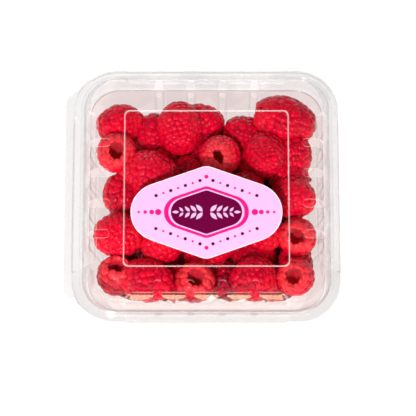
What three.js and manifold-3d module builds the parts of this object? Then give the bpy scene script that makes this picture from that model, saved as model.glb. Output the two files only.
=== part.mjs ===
// A square clear punnet of raspberries: a fluted tray, a domed lid on a living hinge at its left
// side, a lozenge label on the lid, and two layers of berries inside.
// Millimetres, +Z up, front towards -Y. The origin is the centre of the whole part's underside.
import * as THREE from "three";
import { mergeVertices } from "three/addons/utils/BufferGeometryUtils.js";
import Module from "manifold-3d";

const { degToRad, mapLinear } = THREE.MathUtils;

// ---- Driving dimensions ----
const SHEET = 0.8; // wall of the formed sheet
const GAP = 0.3; // clearance between pieces that touch

const FLANGE_HALF = 62.25; // half the side of the square flange
const FLANGE_RADIUS = 20; // its corner radius
const FLANGE_Z = 36; // top of the tray's flange
const LIP_DROP = 1.4; // turned-down edge of the tray's flange
const EDGE_ROUND = 0.4;

const MOUTH_HALF = 57.5; // tray wall where it meets the flange
const STEP_HALF = 54.9; // tray wall below its shoulder
const STEP_DROP = 6.7; // shoulder below the flange
const SHOULDER = 1.2; // how far the wall steps out there
const FLOOR_HALF = 47.6; // tray wall at the floor
const FLOOR_RADIUS = 11; // corner radius at the floor
const FLOOR_EDGE = 3; // rounding between wall and floor
const FLUTE_DEPTH = 1.1; // outward ribs of the tray wall
const FLUTE_HALF = 2.6;
const FLUTE_FADE = 2.5; // height over which a rib rises out of the wall

const DOME_RISE = 9.3; // lid top above the flanges
const DOME_FOOT_HALF = 57.5;
const DOME_TOP_HALF = 55.2;
const DOME_RADIUS = 14.5;
const DOME_ROUND = 1.2; // rounding of its top edge
const BEAD_HALF = 59.2; // raised bead on the lid's flange
const BEAD_RISE = 0.7;
const BEAD_FOOT = 0.8; // half its width at the foot
const BEAD_CREST = 0.4;

const VENT_PITCH = 15; // slots along each side
const VENTS_A_SIDE = 4;
const SLOT_WIDTH = 3.7;
const SLOT_INNER = 44.9; // slot ends, measured from the centre of the lid
const SLOT_OUTER = 54.9;
const BEVEL_FOLD = 50.7; // fold where the vent bevel leaves the lid's top
const BEVEL_FOOT = 54.9;
const BEVEL_DROP = 2.8;
const BEVEL_HALF_LENGTH = 38;
const BEVEL_RADIUS = 5.5;
const BEVEL_REACH = 14; // of the pocket that cuts it, past the dome's wall

const PANEL_SIDE = 76.6; // square outline embossed on the lid
const PANEL_LINE = 0.8;
const PANEL_RISE = 0.4;
const PANEL_RADIUS = 2.4;

const LABEL_WIDTH = 70.4; // lozenge label
const LABEL_SLOPE = degToRad(20); // of its straight edges
const LABEL_END_RADIUS = 14.5;
const LABEL_TIP_RADIUS = 6.4;
const LABEL_OFFSET = -12.1; // its centre, towards the front of the lid
const LABEL_THICKNESS = 0.3;

const HINGE_REACH = 4.25; // hinge web beyond the flange
const HINGE_GAP = 0.15; // each leaf stops this short of the fold
const LEAF_OVERLAP = 2.6; // how far a leaf runs under the flange
const HINGE_END_ANGLE = degToRad(130); // where the web leaves the corner arc

const DRAIN_REACH = 22; // drain slots of the floor, from its centre
const BERRY_CEILING = 40; // the berries stay below this height
const BERRY_SIDES = 10;
const WALL_CLEARANCE = 0.5;
const SLIVER = 0.02; // edges shorter than this are closed up after a join or a cut

const LEAF_EDGE = FLANGE_HALF + HINGE_REACH;
const PACK_X = HINGE_REACH / 2; // puts the whole part's box on the origin
const LID_BASE = FLANGE_Z + GAP;
const LID_TOP = LID_BASE + DOME_RISE;
const CORNER_STEPS = 5;
const VENT_OFFSETS = Array.from(
  { length: VENTS_A_SIDE },
  (_, i) => (i - (VENTS_A_SIDE - 1) / 2) * VENT_PITCH,
);

// ---- Materials ----
const clear = (name) => new THREE.MeshStandardMaterial({
  name, color: 0xf2eeee, roughness: 0.08, metalness: 0, transparent: true, opacity: 0.3,
});
const trayPlastic = clear("tray_plastic");
const lidPlastic = clear("lid_plastic");
const opaque = (name, color, roughness) => new THREE.MeshStandardMaterial({ name, color, roughness });
const labelPaper = opaque("label", 0xf9d2f8, 0.5);
const berryFlesh = opaque("berry", 0xc4122f, 0.45);

// ---- Joining and cutting ----
const wasm = await Module();
wasm.setup();

/** A closed geometry as a solid that can be joined and cut. */
function solid(geometry) {
  const bare = geometry.clone();
  bare.deleteAttribute("normal");
  bare.deleteAttribute("uv");
  const merged = mergeVertices(bare, 1e-4);
  return new wasm.Manifold(new wasm.Mesh({
    numProp: 3,
    vertProperties: merged.attributes.position.array,
    triVerts: new Uint32Array(merged.index.array),
  }));
}

/** A solid as a geometry again, without the slivers that joins and cuts leave. */
function geometryOf(body) {
  const { vertProperties, triVerts } = body.simplify(SLIVER).getMesh();
  const geometry = new THREE.BufferGeometry();
  geometry.setAttribute("position", new THREE.BufferAttribute(new Float32Array(vertProperties), 3));
  geometry.setIndex(new THREE.BufferAttribute(new Uint32Array(triVerts), 1));
  geometry.computeVertexNormals();
  return geometry;
}

const union = (bodies) => bodies.reduce((whole, body) => whole.add(body));

/** The largest closed surface of a solid, which fills its sealed hollows and drops loose scraps. */
const withoutHollows = (body) => body.decompose().reduce((a, b) => (b.volume() > a.volume() ? b : a));

/** The same geometry turned to each of the four sides, as solids. */
function onFourSides(geometry) {
  return [0, 1, 2, 3].map((side) => solid(geometry.clone().rotateZ((side * Math.PI) / 2)));
}

// ---- Outlines and lofts ----

/** A square outline with round corners, anticlockwise, with an optional rib at each vent offset. */
function squareOutline(half, radius, ribDepth = 0) {
  const points = [];
  const centre = half - radius;
  const alongSide = [];
  for (const offset of VENT_OFFSETS) {
    alongSide.push([offset - FLUTE_HALF, 0], [offset - FLUTE_HALF / 2, ribDepth]);
    alongSide.push([offset + FLUTE_HALF / 2, ribDepth], [offset + FLUTE_HALF, 0]);
  }
  for (let side = 0; side < 4; side += 1) {
    const turn = (side * Math.PI) / 2;
    const origin = new THREE.Vector2(0, 0);
    for (const [along, out] of alongSide) {
      points.push(new THREE.Vector2(half + out, along).rotateAround(origin, turn));
    }
    for (let step = 0; step <= CORNER_STEPS; step += 1) {
      const angle = (step / CORNER_STEPS) * (Math.PI / 2);
      const corner = new THREE.Vector2(centre + radius * Math.cos(angle), centre + radius * Math.sin(angle));
      points.push(corner.rotateAround(origin, turn));
    }
  }
  return points;
}

/** Skins a run of outlines of equal length, from a cap that faces down to a cap that faces up. */
function loft(rings) {
  const count = rings[0].points.length;
  const positions = [];
  const index = [];
  for (const { points, z } of rings) {
    points.forEach((point) => positions.push(point.x, point.y, z));
  }
  for (let ring = 0; ring + 1 < rings.length; ring += 1) {
    for (let j = 0; j < count; j += 1) {
      const a = ring * count + j;
      const b = ring * count + ((j + 1) % count);
      index.push(a, b, b + count, a, b + count, a + count);
    }
  }
  const last = (rings.length - 1) * count;
  const bottomCentre = positions.length / 3;
  positions.push(0, 0, rings[0].z, 0, 0, rings[rings.length - 1].z);
  for (let j = 0; j < count; j += 1) {
    const next = (j + 1) % count;
    index.push(bottomCentre, next, j);
    index.push(bottomCentre + 1, last + j, last + next);
  }
  const geometry = new THREE.BufferGeometry();
  geometry.setAttribute("position", new THREE.Float32BufferAttribute(positions, 3));
  geometry.setIndex(index);
  return geometry;
}

const ring = (half, radius, z, rib = 0) => ({ points: squareOutline(half, radius, rib), z });

/** A rounded rectangle as a shape, centred unless its lower edge is given. */
function roundedRectangle(width, height, radius, bottom = -height / 2) {
  const shape = new THREE.Shape();
  const right = width / 2 - radius;
  const low = bottom + radius;
  const high = bottom + height - radius;
  shape.absarc(right, low, radius, -Math.PI / 2, 0);
  shape.absarc(right, high, radius, 0, Math.PI / 2);
  shape.absarc(-right, high, radius, Math.PI / 2, Math.PI);
  shape.absarc(-right, low, radius, Math.PI, 1.5 * Math.PI);
  return shape;
}

/** A flat plate of a shape, from one height to another. */
function plate(shape, low, high, curveSegments = 6) {
  const options = { depth: high - low, bevelEnabled: false, curveSegments };
  return new THREE.ExtrudeGeometry(shape, options).translate(0, 0, low);
}

// ---- Tray ----

/** How far the inside of the tray reaches from its centre at a height. */
function trayInside(z) {
  const shoulder = FLANGE_Z - STEP_DROP;
  if (z < shoulder) return mapLinear(z, 0, shoulder, FLOOR_HALF, STEP_HALF) - SHEET;
  return mapLinear(z, shoulder, FLANGE_Z, STEP_HALF + SHOULDER, MOUTH_HALF) - SHEET;
}

/** Rings up one face of the tray wall, set in from the outer face by the sheet's thickness. */
function trayWall(inset, floorZ) {
  const shoulder = FLANGE_Z - STEP_DROP;
  const radius = (half) => mapLinear(half, FLOOR_HALF, MOUTH_HALF, FLOOR_RADIUS, DOME_RADIUS) - inset;
  const at = (half, z, rib = 0) => ring(half - inset, radius(half), z, rib);
  const wall = (z) => mapLinear(z, 0, shoulder, FLOOR_HALF, STEP_HALF);
  const round = FLOOR_EDGE;
  return [
    at(FLOOR_HALF - round, floorZ),
    at(wall(0) - round * 0.25, floorZ + round * 0.3),
    at(wall(round), floorZ + round),
    at(wall(round + FLUTE_FADE), floorZ + round + FLUTE_FADE, FLUTE_DEPTH),
    at(wall(shoulder - FLUTE_FADE), shoulder - FLUTE_FADE, FLUTE_DEPTH),
    at(STEP_HALF, shoulder - SHOULDER / 2),
    at(STEP_HALF + SHOULDER, shoulder + inset / 2),
    at(MOUTH_HALF, FLANGE_Z - SHEET + inset),
  ];
}

/** One flat leaf of the hinge web, its ends running into the corners of the flange. */
function hingeLeaf(low, high) {
  const centre = FLANGE_HALF - FLANGE_RADIUS;
  const inner = FLANGE_RADIUS - LEAF_OVERLAP;
  const [cos, sin] = [Math.cos(HINGE_END_ANGLE), Math.sin(HINGE_END_ANGLE)];
  const edge = LEAF_EDGE - HINGE_GAP;
  const edgeEnd = centre + (FLANGE_RADIUS + (edge - centre) * cos) / sin;
  const half = [
    [-edge, edgeEnd],
    [-centre + FLANGE_RADIUS * cos, centre + FLANGE_RADIUS * sin],
    [-centre + inner * cos, centre + inner * sin],
    [-centre - inner, centre],
  ];
  const points = [...half, ...half.map(([x, y]) => [x, -y]).reverse()];
  return plate(new THREE.Shape(points.map(([x, y]) => new THREE.Vector2(x, y))), low, high);
}

function makeTray() {
  const lipZ = FLANGE_Z - SHEET - LIP_DROP;
  const flange = [
    ring(FLANGE_HALF - SHEET, FLANGE_RADIUS - SHEET, FLANGE_Z - SHEET),
    ring(FLANGE_HALF - SHEET, FLANGE_RADIUS - SHEET, lipZ),
    ring(FLANGE_HALF, FLANGE_RADIUS, lipZ),
    ring(FLANGE_HALF, FLANGE_RADIUS, FLANGE_Z - EDGE_ROUND),
    ring(FLANGE_HALF - EDGE_ROUND, FLANGE_RADIUS - EDGE_ROUND, FLANGE_Z),
  ];
  const shell = solid(loft([...trayWall(0, 0), ...flange, ...trayWall(SHEET, SHEET).reverse()]));
  const slot = roundedRectangle(SLOT_WIDTH, SLOT_OUTER - SLOT_INNER, SLOT_WIDTH / 2 - 0.01);
  const drains = onFourSides(plate(slot, -1, SHEET + 1).translate(0, DRAIN_REACH, 0));
  const leaf = solid(hingeLeaf(FLANGE_Z - SHEET, FLANGE_Z));
  return geometryOf(shell.add(leaf).subtract(union(drains)));
}

// ---- Lid ----

/** The rounded pocket that gives each side of the dome its vent bevel, set in by the sheet. */
function ventBevel(inset) {
  const slope = Math.atan2(BEVEL_DROP, BEVEL_FOOT - BEVEL_FOLD);
  const pocket = roundedRectangle(2 * (BEVEL_HALF_LENGTH + inset), BEVEL_REACH, BEVEL_RADIUS + inset, -inset);
  const down = new THREE.Vector3(Math.cos(slope), 0, -Math.sin(slope));
  const out = new THREE.Vector3(Math.sin(slope), 0, Math.cos(slope));
  const along = new THREE.Vector3(0, -1, 0);
  const place = new THREE.Matrix4().makeBasis(along, down, out);
  const fold = new THREE.Vector3(BEVEL_FOLD, 0, LID_TOP).addScaledVector(out, -inset);
  return plate(pocket, 0, BEVEL_REACH / 2, 4).applyMatrix4(place.setPosition(fold));
}

/** The dome as a filled solid, its faces set in by the sheet's thickness. */
function dome(inset, footZ) {
  const top = LID_TOP - inset;
  const round = DOME_ROUND * (1 - Math.SQRT1_2);
  const filled = solid(loft([
    ring(DOME_FOOT_HALF + EDGE_ROUND - inset, DOME_RADIUS + EDGE_ROUND - inset, footZ),
    ring(DOME_FOOT_HALF - inset, DOME_RADIUS - inset, LID_BASE + SHEET + EDGE_ROUND),
    ring(DOME_TOP_HALF - inset, DOME_RADIUS - inset, top - DOME_ROUND),
    ring(DOME_TOP_HALF - round - inset, DOME_RADIUS - round - inset, top - round),
    ring(DOME_TOP_HALF - DOME_ROUND - inset, DOME_RADIUS - DOME_ROUND - inset, top),
  ]));
  return filled.subtract(union(onFourSides(ventBevel(inset))));
}

/** The embossed square line on the lid's top. */
function panelLine() {
  const outline = roundedRectangle(PANEL_SIDE, PANEL_SIDE, PANEL_RADIUS);
  const inside = PANEL_SIDE - 2 * PANEL_LINE;
  outline.holes.push(roundedRectangle(inside, inside, PANEL_RADIUS - PANEL_LINE));
  return plate(outline, LID_TOP - SHEET / 2, LID_TOP + PANEL_RISE, 3);
}

function makeLid() {
  const rim = LID_BASE + SHEET;
  const around = (half, z) => ring(half, FLANGE_RADIUS - (FLANGE_HALF - half), z);
  const flange = solid(loft([
    around(FLANGE_HALF, LID_BASE),
    around(FLANGE_HALF, rim),
    around(BEAD_HALF + BEAD_FOOT, rim),
    around(BEAD_HALF + BEAD_CREST, rim + BEAD_RISE),
    around(BEAD_HALF - BEAD_CREST, rim + BEAD_RISE),
    around(BEAD_HALF - BEAD_FOOT, rim),
  ]));
  const outer = flange.add(dome(0, rim - 0.2)).add(solid(hingeLeaf(LID_BASE, rim)));
  const shell = outer.subtract(dome(SHEET, LID_BASE - 1)).add(solid(panelLine()));
  const length = SLOT_OUTER - SLOT_INNER;
  const slot = roundedRectangle(SLOT_WIDTH, length, SLOT_WIDTH / 2 - 0.01);
  const cutters = VENT_OFFSETS.flatMap((offset) => {
    const cutter = plate(slot, LID_TOP - BEVEL_DROP - 3, LID_TOP + 2, 4);
    return onFourSides(cutter.translate(offset, SLOT_INNER + length / 2, 0));
  });
  return geometryOf(shell.subtract(union(cutters)));
}

// ---- Label ----

/** A lozenge with round ends at the left and right and blunt points front and back. */
function labelShape() {
  const endX = LABEL_WIDTH / 2 - LABEL_END_RADIUS;
  const normal = Math.PI / 2 - LABEL_SLOPE; // direction that its straight edges face
  const reach = endX * Math.cos(normal) + LABEL_END_RADIUS;
  const tipY = (reach - LABEL_TIP_RADIUS) / Math.sin(normal);
  const shape = new THREE.Shape();
  shape.absarc(endX, 0, LABEL_END_RADIUS, -normal, normal);
  shape.absarc(0, tipY, LABEL_TIP_RADIUS, normal, Math.PI - normal);
  shape.absarc(-endX, 0, LABEL_END_RADIUS, Math.PI - normal, Math.PI + normal);
  shape.absarc(0, -tipY, LABEL_TIP_RADIUS, Math.PI + normal, 2 * Math.PI - normal);
  return shape;
}

function makeLabel() {
  const low = LID_TOP + GAP;
  return plate(labelShape(), low, low + LABEL_THICKNESS, 8).translate(0, LABEL_OFFSET, 0);
}

// ---- Berries ----
// x, y: centre; z: its height; wide, long: size; turn: way that the tip points in plan, in degrees;
// tip: how far the tip is raised, in degrees; open: whether the hollow end shows.
const TOP_BERRIES = [
  { x: -41.4, y: 38.2, z: 28.2, wide: 18.6, long: 21.5, turn: 195, tip: 10, open: false },
  { x: -42.8, y: 23.5, z: 28.8, wide: 19.2, long: 18.5, turn: 90, tip: -80, open: true },
  { x: -25.5, y: 35.2, z: 23.5, wide: 19, long: 20, turn: 60, tip: 30, open: false },
  { x: -11.9, y: 35.0, z: 29.0, wide: 20.6, long: 25, turn: -87, tip: 8, open: false },
  { x: -2.1, y: 40.7, z: 23.8, wide: 18.2, long: 22.5, turn: -12, tip: 12, open: false },
  { x: 17.5, y: 34.7, z: 23.5, wide: 18.6, long: 20.5, turn: 165, tip: 22, open: false },
  { x: 37.0, y: 38.9, z: 28.6, wide: 21.2, long: 28.8, turn: -19, tip: -5, open: false },
  { x: 28.1, y: 22.2, z: 29.2, wide: 21, long: 25, turn: -82, tip: 36, open: false },
  { x: 6.6, y: 22.0, z: 28.8, wide: 20, long: 20.5, turn: 78, tip: -67, open: true },
  { x: -25.9, y: 12.1, z: 28.4, wide: 22.6, long: 29, turn: -17, tip: 4, open: false },
  { x: 40.9, y: 23.1, z: 25.5, wide: 19, long: 21.5, turn: 75, tip: 22, open: false },
  { x: 41.8, y: 0.5, z: 28.8, wide: 19, long: 20.5, turn: -30, tip: 34, open: false },
  { x: 42.5, y: -18.5, z: 28.8, wide: 18.8, long: 18.5, turn: 74, tip: -73, open: true },
  { x: 41.6, y: -37.9, z: 28.4, wide: 18.4, long: 18.5, turn: 64, tip: -72, open: true },
  { x: 22.2, y: -38.4, z: 28.6, wide: 20, long: 20.6, turn: 200, tip: 14, open: false },
  { x: -5.4, y: -39.3, z: 28.2, wide: 20, long: 18.5, turn: -90, tip: -88, open: true },
  { x: -27.1, y: -38.8, z: 28.8, wide: 18.4, long: 24.5, turn: -14, tip: 3, open: false },
  { x: -42.3, y: -37.2, z: 26.4, wide: 18.6, long: 19, turn: -100, tip: -72, open: true },
  { x: -42.1, y: -17.9, z: 28.8, wide: 20, long: 21.4, turn: 184, tip: 4, open: false },
  { x: -40.1, y: 4.0, z: 25.0, wide: 18.6, long: 20.5, turn: 100, tip: 22, open: false },
  { x: -19.9, y: -20.7, z: 28.0, wide: 20, long: 22, turn: 30, tip: 18, open: false },
  { x: 25.5, y: -14.4, z: 27.8, wide: 20, long: 22, turn: 140, tip: 14, open: false },
  { x: -3.0, y: -1.4, z: 28.0, wide: 21.5, long: 23.5, turn: 80, tip: 25, open: false },
  { x: 18.0, y: 0.9, z: 27.0, wide: 20.5, long: 22, turn: 20, tip: 28, open: false },
  { x: 4.4, y: -20.2, z: 26.4, wide: 20, long: 22, turn: -120, tip: 20, open: false },
];
const LOW_ROW = 4; // berries along a side in the bottom layer
const LOW_PITCH = 20.6;
const LOW_Z = 12.2;

/** A repeatable source of numbers from 0 to 1. */
function seeded(seed) {
  let state = seed;
  return () => {
    state = (Math.imul(state, 1664525) + 1013904223) >>> 0;
    return state / 2 ** 32;
  };
}

/** The bottom layer: a loose square of berries, each leaning its own way. */
function lowBerries() {
  const random = seeded(3);
  const berries = [];
  for (let row = 0; row < LOW_ROW; row += 1) {
    for (let column = 0; column < LOW_ROW; column += 1) {
      berries.push({
        x: (column - (LOW_ROW - 1) / 2) * LOW_PITCH + 2 * (random() - 0.5),
        y: (row - (LOW_ROW - 1) / 2) * LOW_PITCH + 2 * (random() - 0.5),
        z: LOW_Z + random(),
        wide: 19.5 + 2 * random(),
        long: 20.5 + 2.5 * random(),
        turn: 360 * random(),
        tip: 30 * (random() - 0.5),
        open: false,
      });
    }
  }
  return berries;
}

/** One berry: a blunt cone about its own axis, tip up, with its open end hollow or plain. */
function berrySolid({ x, y, z, wide, long, turn, tip, open }) {
  const flesh = [[0, 0.5], [0.52, 0.43], [0.86, 0.22], [1, -0.06], [0.93, -0.32], [0.66, -0.5]];
  const hollow = open ? [[0.48, -0.47], [0.4, -0.1], [0, 0.06]] : [[0, -0.5]];
  const profile = [...flesh, ...hollow].map(([r, h]) => new THREE.Vector2((r * wide) / 2, h * long));
  const lathe = new THREE.LatheGeometry(profile.reverse(), BERRY_SIDES).rotateX(Math.PI / 2);
  const heading = new THREE.Euler(0, Math.PI / 2 - degToRad(tip), 0);
  const place = new THREE.Matrix4().makeRotationZ(degToRad(turn));
  place.multiply(new THREE.Matrix4().makeRotationFromEuler(heading)).setPosition(x, y, z);
  return solid(lathe.applyMatrix4(place));
}

/** The space that the berries may fill: the inside of the tray and lid, less a little. */
function berrySpace() {
  const levels = [SHEET + WALL_CLEARANCE, FLOOR_EDGE + 2, FLANGE_Z - STEP_DROP - 1, FLANGE_Z - STEP_DROP + 1];
  const rings = levels.map((z) => ring(trayInside(z) - WALL_CLEARANCE, FLOOR_RADIUS, z));
  rings[0] = ring(FLOOR_HALF - FLOOR_EDGE - WALL_CLEARANCE, FLOOR_RADIUS - 1, levels[0]);
  rings.push(ring(DOME_TOP_HALF - SHEET - 1, DOME_RADIUS - 1, BERRY_CEILING));
  return solid(loft(rings));
}

function makeBerries() {
  const core = solid(loft([
    ring(34, 10, SHEET + WALL_CLEARANCE + 1),
    ring(38, 12, 19),
    ring(35, 12, 25.4),
  ]));
  const berries = [...TOP_BERRIES, ...lowBerries()].map(berrySolid);
  return geometryOf(withoutHollows(core.add(union(berries)).intersect(berrySpace())));
}

// ---- The part ----
const part = new THREE.Group();
const pieces = [
  ["tray", makeTray(), trayPlastic],
  ["lid", makeLid(), lidPlastic],
  ["label", makeLabel(), labelPaper],
  ["berries", makeBerries(), berryFlesh],
];
for (const [name, geometry, material] of pieces) {
  const mesh = new THREE.Mesh(geometry, material);
  mesh.name = name;
  part.add(mesh);
}
part.position.x = PACK_X;

export default part;
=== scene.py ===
"""A clear hinged punnet of raspberries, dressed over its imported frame.

Every piece is built in millimetres about the middle of the pack, with the front towards -Y, and is
then placed in the frame's metres.
"""

import logging
import math
from dataclasses import dataclass, field
from enum import Enum
from typing import Callable, Sequence

import bmesh
import bpy
from bmesh.types import BMEdge, BMesh, BMFace, BMVert
from bpy.types import Material, Mesh, Node, NodeSocket, NodeTree, Object
from mathutils import Matrix, Vector


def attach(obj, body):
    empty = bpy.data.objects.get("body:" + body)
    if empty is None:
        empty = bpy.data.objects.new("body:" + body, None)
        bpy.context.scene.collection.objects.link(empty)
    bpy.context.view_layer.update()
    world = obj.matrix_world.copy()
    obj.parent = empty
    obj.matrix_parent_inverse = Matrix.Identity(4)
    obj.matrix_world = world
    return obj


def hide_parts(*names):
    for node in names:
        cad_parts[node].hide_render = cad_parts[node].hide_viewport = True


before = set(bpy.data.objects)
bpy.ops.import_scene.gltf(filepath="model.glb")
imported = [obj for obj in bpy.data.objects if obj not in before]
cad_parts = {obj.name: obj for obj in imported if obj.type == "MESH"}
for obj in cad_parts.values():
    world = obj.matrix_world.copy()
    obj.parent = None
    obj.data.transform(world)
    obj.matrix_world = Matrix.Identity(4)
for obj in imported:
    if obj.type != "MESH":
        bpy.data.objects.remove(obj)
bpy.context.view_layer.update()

LOG = logging.getLogger("punnet")

MM = 0.001
PACK_X = 2.125  # middle of the square pack: the hinge web makes the whole part wider on its left

SHEET = 0.4  # wall of the thermoformed sheet
SOLID_WALL = 0.8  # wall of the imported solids, which the berries keep clear of
FLANGE_HALF = 62.25
FLANGE_RADIUS = 20.0
FLANGE_CENTRE = FLANGE_HALF - FLANGE_RADIUS  # centre of each corner arc
FLANGE_Z = 36.0
VENT_OFFSETS = (-22.5, -7.5, 7.5, 22.5)
SLOT_HALF = 2.0
HINGE_EDGE = 66.35
HINGE_END = math.radians(130.0)  # where the hinge web leaves the corner arc
HINGE_END_Y = FLANGE_CENTRE + FLANGE_RADIUS * math.sin(HINGE_END)


class Body(Enum):
    """The bodies of the frame."""

    BASE = "base"
    COVER = "cover"


class Slot(Enum):
    """The record's material slots."""

    TRAY = "tray_plastic"
    LID = "lid_plastic"
    LABEL = "label"
    BERRY = "berry"


# ---- Nodes and colours ----


def linear(code: str) -> tuple[float, float, float, float]:
    """Turns an sRGB hex value to linear colour.

    Args:
        code: Six hex digits.

    Returns:
        Red, green, blue and an alpha of 1.
    """
    parts = [int(code[i : i + 2], 16) / 255 for i in (0, 2, 4)]
    red, green, blue = (p / 12.92 if p <= 0.04045 else ((p + 0.055) / 1.055) ** 2.4 for p in parts)
    return (red, green, blue, 1.0)


def add(tree: NodeTree, kind: str, settings: dict | None = None, **links: object) -> Node:
    """Adds a node with its settings and links.

    Args:
        tree: The tree that gets the node.
        kind: The node's type name, without the word ShaderNode.
        settings: Properties of the node by name, and sockets by name or number.
        **links: Sockets by name, with underscores for spaces, or i0, i1 by number; each one's value is an
            output socket.

    Returns:
        The new node.
    """
    node = tree.nodes.new("ShaderNode" + kind)
    for key, value in (settings or {}).items():
        if isinstance(key, str) and hasattr(node, key):
            setattr(node, key, value)
        else:
            node.inputs[key].default_value = value
    for key, source in links.items():
        numbered = key[0] == "i" and key[1:].isdigit()
        tree.links.new(source, node.inputs[int(key[1:]) if numbered else key.replace("_", " ")])
    return node


def attribute(tree: NodeTree, name: str) -> NodeSocket:
    """Reads one of the mesh's own attributes as a number."""
    return add(tree, "Attribute", {"attribute_name": name}).outputs["Fac"]


def noise(tree: NodeTree, scale: float, detail: float, roughness: float = 0.5) -> NodeSocket:
    """Adds a noise that keeps to the object.

    Args:
        tree: The tree that gets it.
        scale: Its waves in a metre.
        detail: How many finer layers it has.
        roughness: How strong the finer layers are.

    Returns:
        Its value from 0 to 1.
    """
    place = add(tree, "TexCoord")
    settings = {"Scale": scale, "Detail": detail, "Roughness": roughness}
    return add(tree, "TexNoise", settings, Vector=place.outputs["Object"]).outputs[0]


def mixed(tree: NodeTree, share: NodeSocket, low: object, high: object, blend: str = "MIX") -> NodeSocket:
    """Mixes two colours, each given as an sRGB hex value or as a socket.

    Args:
        tree: The tree that gets the node.
        share: How much of the second there is.
        low: The first colour.
        high: The second colour.
        blend: How the second is laid over the first.

    Returns:
        The mixed colour.
    """
    settings: dict = {"data_type": "RGBA", "blend_type": blend}
    links = {"i0": share}
    for number, colour in ((6, low), (7, high)):
        if isinstance(colour, str):
            settings[number] = linear(colour)
        else:
            links[f"i{number}"] = colour
    return add(tree, "Mix", settings, **links).outputs[2]


def layered(tree: NodeTree, under: Node, over: Node, share: NodeSocket | float) -> Node:
    """Mixes two shaders.

    Args:
        tree: The tree that gets the node.
        under: The first shader.
        over: The second shader.
        share: How much of the second there is, as a number or as a socket.

    Returns:
        The node that mixes them.
    """
    fixed = {0: share} if isinstance(share, float) else None
    varied = {} if fixed else {"i0": share}
    return add(tree, "MixShader", fixed, i1=under.outputs[0], i2=over.outputs[0], **varied)


# ---- Finishes ----


@dataclass(frozen=True)
class Finish:
    """The finish of a surface, named for its real material and process."""

    name: str

    def shade(self, tree: NodeTree) -> Node:
        """Adds the finish's nodes and gives back the shader that they end in."""
        raise NotImplementedError

    def build(self) -> Material:
        """Makes the material."""
        material = bpy.data.materials.new(self.name)
        material.use_nodes = True
        tree = material.node_tree
        tree.nodes.clear()
        add(tree, "OutputMaterial", None, Surface=self.shade(tree).outputs[0])
        return material


@dataclass(frozen=True)
class ClearSheet(Finish):
    """Thermoformed clear PET: nearly all see-through, glossy, and whiter where it was stretched.

    The crease attribute says where it is milky; the bend attribute says where it passes light darker,
    painted shade at its tight bends, on the ribs' flanks and on the flange; a third says where it passes
    light slightly warm.
    """

    tint: str = "fefefe"
    warm_wall_tint: str = "fef8f7"  # the tray's inner walls and floor pass light slightly warm
    stretched: str = "f6eff0"
    painted_bend_shade: str = "a49c9c"  # painted shade: the darker colour passed where the bend attribute is set, in place of the light a tight bend throws aside
    straight_on: float = 0.045  # share that each face mirrors head on, for an IOR of about 1.57
    roughness: float = 0.035
    haze: float = 0.0002
    crease_haze: float = 0.5

    def shade(self, tree: NodeTree) -> Node:
        """Adds clear sheet under a share of mirror, with milk over its creases."""
        # A thin even sheet bends no light that passes it, so each face is a share of mirror over clear.
        facing = add(tree, "LayerWeight", {"Blend": 0.5})
        grazing = add(tree, "Math", {"operation": "POWER", 1: 5.0}, i0=facing.outputs["Facing"])
        mirrored = add(
            tree, "Math", {"operation": "MULTIPLY_ADD", 1: 1 - self.straight_on, 2: self.straight_on},
            i0=grazing.outputs[0],
        )
        # Moulded waves of about 11 mm make its reflections swim a little.
        waves = noise(tree, 90.0, 2.0, 0.45)
        ripple = add(tree, "Bump", {"Strength": 0.12, "Distance": 0.0004}, Height=waves)
        warmed = mixed(tree, attribute(tree, "warm_walls"), self.tint, self.warm_wall_tint)
        # Painted shade: the bend attribute darkens what the sheet lets through.
        passed = mixed(tree, attribute(tree, "bend"), warmed, self.painted_bend_shade)
        clear = add(tree, "BsdfTransparent", None, Color=passed)
        gloss = add(tree, "BsdfGlossy", {"Roughness": self.roughness}, Normal=ripple.outputs[0])
        sheet = layered(tree, clear, gloss, mirrored.outputs[0])
        whitened = add(
            tree, "Math", {"operation": "MULTIPLY_ADD", 1: self.crease_haze, 2: self.haze},
            i0=attribute(tree, "crease"),
        )
        milk = {"Base Color": linear(self.stretched), "Roughness": 0.35, "IOR": 1.57}
        milky = add(tree, "BsdfPrincipled", milk)
        return layered(tree, sheet, milky, whitened.outputs[0])


@dataclass(frozen=True)
class CutEdge(Finish):
    """The trimmed edge of the sheet: it scatters light, so it draws a fine pale line."""

    colour: str = "f0eeee"
    see_through: float = 0.5

    def shade(self, tree: NodeTree) -> Node:
        """Adds a pale edge with the fine marks of the trim, partly see-through."""
        tone = mixed(tree, noise(tree, 700.0, 2.0), self.colour, "ffffff")
        edge = add(tree, "BsdfPrincipled", {"Roughness": 0.3, "IOR": 1.57}, Base_Color=tone)
        clear = add(tree, "BsdfTransparent")
        return layered(tree, edge, clear, self.see_through)


@dataclass(frozen=True)
class PrintedPaper(Finish):
    """Coated label paper under flat ink: smooth, softly glossy, with a faint fibre in the tone."""

    colour: str
    deeper: str
    roughness: float = 0.42

    def shade(self, tree: NodeTree) -> Node:
        """Adds inked paper with its fibre in tone and touch."""
        # Fibres of about 0.4 mm are drawn at 1.5 mm, as coarse as they need to be to show.
        fibre = noise(tree, 650.0, 4.0, 0.6)
        tone = mixed(tree, fibre, self.colour, self.deeper)
        tooth = add(tree, "Bump", {"Strength": 0.05, "Distance": 0.0001}, Height=fibre)
        return add(
            tree, "BsdfPrincipled", {"Roughness": self.roughness, "IOR": 1.5, "Specular IOR Level": 0.12},
            Base_Color=tone, Normal=tooth.outputs[0],
        )


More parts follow.
